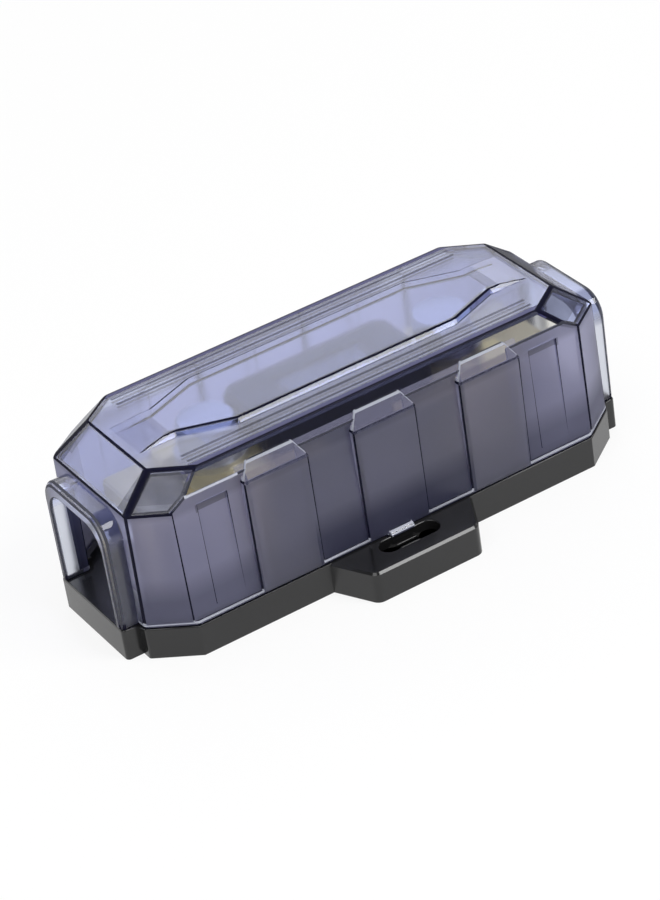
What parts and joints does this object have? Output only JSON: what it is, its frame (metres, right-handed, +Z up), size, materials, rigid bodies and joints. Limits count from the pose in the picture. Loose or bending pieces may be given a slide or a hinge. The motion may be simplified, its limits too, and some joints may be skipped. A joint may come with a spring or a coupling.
{
  "type": "strip fuse holder",
  "caption": "Fuse holder with a faceted smoke-clear snap cover over a black base with screw ears, a bolt-down strip fuse between brass cable terminals, and a cable hood at each end.",
  "frame": {"origin": "on the surface it rests on, under the middle of the base", "axes": "+X along the holder towards the far cable mouth, +Y towards the back long side, +Z up through the cover; the cable screws face -Y"},
  "size_m": [0.13, 0.0676, 0.0438],
  "materials": {
    "base_plastic": "black moulded plastic with a light satin sheen",
    "cover_plastic": "clear polished plastic with a blue-grey smoke tint",
    "terminal_metal": "brass with a bright satin plating",
    "fuse_strip": "rolled strip with a bright plating",
    "fuse_moulding": "dark moulded fuse body",
    "fuse_lens": "clear inspection lens",
    "washer_steel": "bright zinc",
    "fuse_screw_steel": "bright zinc",
    "cable_screw_steel": "black oxide",
    "block_screw_steel": "bright zinc"
  },
  "bodies": {
    "holder": {"base": "base_plastic", "block_left": "terminal_metal", "block_right": "terminal_metal", "fuse_blade": "fuse_strip", "fuse_body_lower": "fuse_moulding", "fuse_body_upper": "fuse_moulding", "fuse_window": "fuse_lens", "flat_washer_left": "washer_steel", "spring_washer_left": "washer_steel", "fuse_screw_left": "fuse_screw_steel", "flat_washer_right": "washer_steel", "spring_washer_right": "washer_steel", "fuse_screw_right": "fuse_screw_steel", "block_screw_left_front": "block_screw_steel", "block_screw_left_back": "block_screw_steel", "block_screw_right_front": "block_screw_steel", "block_screw_right_back": "block_screw_steel"},
    "cover": {"cover": "cover_plastic"},
    "cable_screw_left": {"cable_screw_left": "cable_screw_steel"},
    "cable_screw_right": {"cable_screw_right": "cable_screw_steel"}
  },
  "joints": [
    {"name": "cover_lift", "type": "slide", "parent": "holder", "child": "cover", "axis": [0, 0, 1], "range_m": [0, 0.05]},
    {"name": "cable_screw_left_travel", "type": "slide", "parent": "holder", "child": "cable_screw_left", "axis": [0, 1, 0], "range_m": [-0.003, 0.005]},
    {"name": "cable_screw_right_travel", "type": "slide", "parent": "holder", "child": "cable_screw_right", "axis": [0, 1, 0], "range_m": [-0.003, 0.005]}
  ]
}
